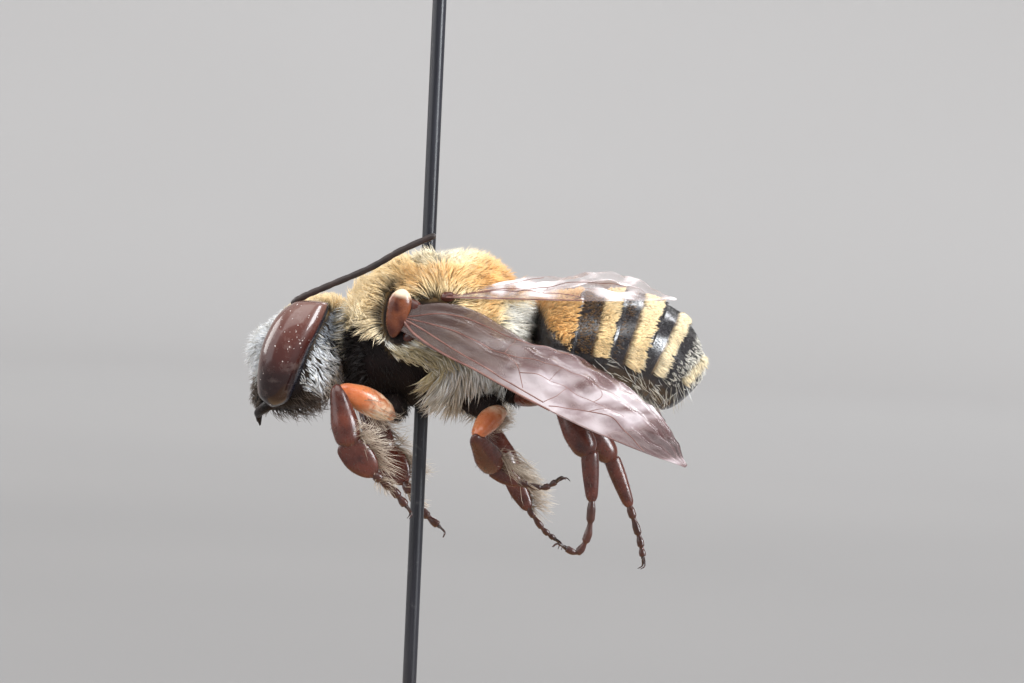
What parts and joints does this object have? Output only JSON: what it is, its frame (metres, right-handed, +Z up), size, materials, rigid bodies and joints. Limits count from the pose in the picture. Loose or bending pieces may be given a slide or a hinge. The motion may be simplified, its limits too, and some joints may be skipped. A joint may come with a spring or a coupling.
{
  "type": "pinned leafcutter bee",
  "caption": "Life-size dried leafcutter bee on an insect pin in a plain round base, wings half folded and drooping, legs hanging below.",
  "frame": {"origin": "centre of the base's underside, on the pin's axis", "axes": "+Z up along the pin, -X the way the bee faces, -Y the bee's left side"},
  "size_m": [0.021, 0.021, 0.0395],
  "materials": {
    "coat": "dense soft hair over black shell, golden above and whitish below, in bands on the abdomen",
    "cuticle": "black-brown finely pitted shell, half gloss",
    "eye": "smooth glossy compound eye, red-brown going to black below",
    "feeler": "brown-black, fine short down",
    "tegula": "glossy chestnut scale",
    "wing": "thin clear smoky membrane with dark red veins",
    "amber_leg": "glossy orange-brown shell",
    "red_leg": "glossy dark red-brown shell",
    "fringe": "broad segment with long cream hairs",
    "toe": "small brown joints and black claws",
    "pin": "black japanned steel wire, half gloss",
    "pin_head": "small polished round head",
    "wood": "plain turned light wood, sealed matt"
  },
  "bodies": {
    "root": {"head": "coat", "eye_left": "eye", "eye_right": "eye", "antenna_left_scape": "feeler", "antenna_left_flagellum": "feeler", "antenna_right_scape": "feeler", "antenna_right_flagellum": "feeler", "mandible_left": "cuticle", "mandible_right": "cuticle", "neck": "cuticle", "thorax": "coat", "tegula_left": "tegula", "tegula_right": "tegula", "waist": "cuticle", "abdomen_1": "coat", "abdomen_2": "coat", "abdomen_3": "coat", "abdomen_4": "coat", "abdomen_5": "coat", "abdomen_6": "coat", "forewing_left": "wing", "hindwing_left": "wing", "forewing_right": "wing", "hindwing_right": "wing", "leg_front_left_hip": "cuticle", "leg_front_left_femur": "amber_leg", "leg_front_left_tibia": "red_leg", "leg_front_left_basitarsus": "fringe", "leg_front_left_toes": "toe", "leg_front_right_hip": "cuticle", "leg_front_right_femur": "amber_leg", "leg_front_right_tibia": "red_leg", "leg_front_right_basitarsus": "fringe", "leg_front_right_toes": "toe", "leg_middle_left_hip": "cuticle", "leg_middle_left_femur": "amber_leg", "leg_middle_left_tibia": "red_leg", "leg_middle_left_basitarsus": "fringe", "leg_middle_left_toes": "toe", "leg_middle_right_hip": "cuticle", "leg_middle_right_femur": "amber_leg", "leg_middle_right_tibia": "red_leg", "leg_middle_right_basitarsus": "fringe", "leg_middle_right_toes": "toe", "leg_hind_left_hip": "cuticle", "leg_hind_left_femur": "red_leg", "leg_hind_left_tibia": "red_leg", "leg_hind_left_basitarsus": "red_leg", "leg_hind_left_toes": "toe", "leg_hind_right_hip": "cuticle", "leg_hind_right_femur": "red_leg", "leg_hind_right_tibia": "red_leg", "leg_hind_right_basitarsus": "red_leg", "leg_hind_right_toes": "toe", "pin_shaft": "pin", "pin_head": "pin_head", "stand_base": "wood"}
  },
  "joints": []
}
